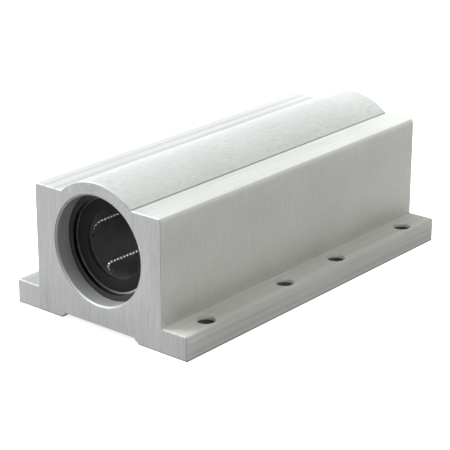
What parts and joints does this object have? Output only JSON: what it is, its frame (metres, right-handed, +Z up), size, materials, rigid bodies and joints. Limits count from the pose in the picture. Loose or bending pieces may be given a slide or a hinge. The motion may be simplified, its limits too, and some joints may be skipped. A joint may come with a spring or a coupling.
{
  "type": "linear bearing block",
  "caption": "Long aluminium linear bearing block with a flanged base, a round hump over its through bore, and two ball bushings held by snap rings.",
  "frame": {"origin": "middle of the footprint, on the plane that the feet stand on", "axes": "+Y along the shaft from the front face to the rear face, +X across, +Z up"},
  "size_m": [0.0826, 0.1524, 0.0555],
  "materials": {
    "housing": "machined aluminium with a fine satin grain",
    "retaining_ring": "dark phosphated spring steel",
    "bearing_sleeve": "ground steel",
    "ball_cage": "black moulded plastic",
    "seal": "black rubber",
    "load_plate": "hardened ground steel",
    "ball": "polished bearing steel"
  },
  "bodies": {
    "root": {"housing": "housing", "front_outer_retaining_ring": "retaining_ring", "front_inner_retaining_ring": "retaining_ring", "front_bearing_sleeve": "bearing_sleeve", "front_ball_cage": "ball_cage", "front_outer_seal": "seal", "front_inner_seal": "seal", "front_load_plate_1": "load_plate", "front_ball_circuit_1": "ball", "front_load_plate_2": "load_plate", "front_ball_circuit_2": "ball", "front_load_plate_3": "load_plate", "front_ball_circuit_3": "ball", "front_load_plate_4": "load_plate", "front_ball_circuit_4": "ball", "front_load_plate_5": "load_plate", "front_ball_circuit_5": "ball", "rear_outer_retaining_ring": "retaining_ring", "rear_inner_retaining_ring": "retaining_ring", "rear_bearing_sleeve": "bearing_sleeve", "rear_ball_cage": "ball_cage", "rear_outer_seal": "seal", "rear_inner_seal": "seal", "rear_load_plate_1": "load_plate", "rear_ball_circuit_1": "ball", "rear_load_plate_2": "load_plate", "rear_ball_circuit_2": "ball", "rear_load_plate_3": "load_plate", "rear_ball_circuit_3": "ball", "rear_load_plate_4": "load_plate", "rear_ball_circuit_4": "ball", "rear_load_plate_5": "load_plate", "rear_ball_circuit_5": "ball"}
  },
  "joints": []
}
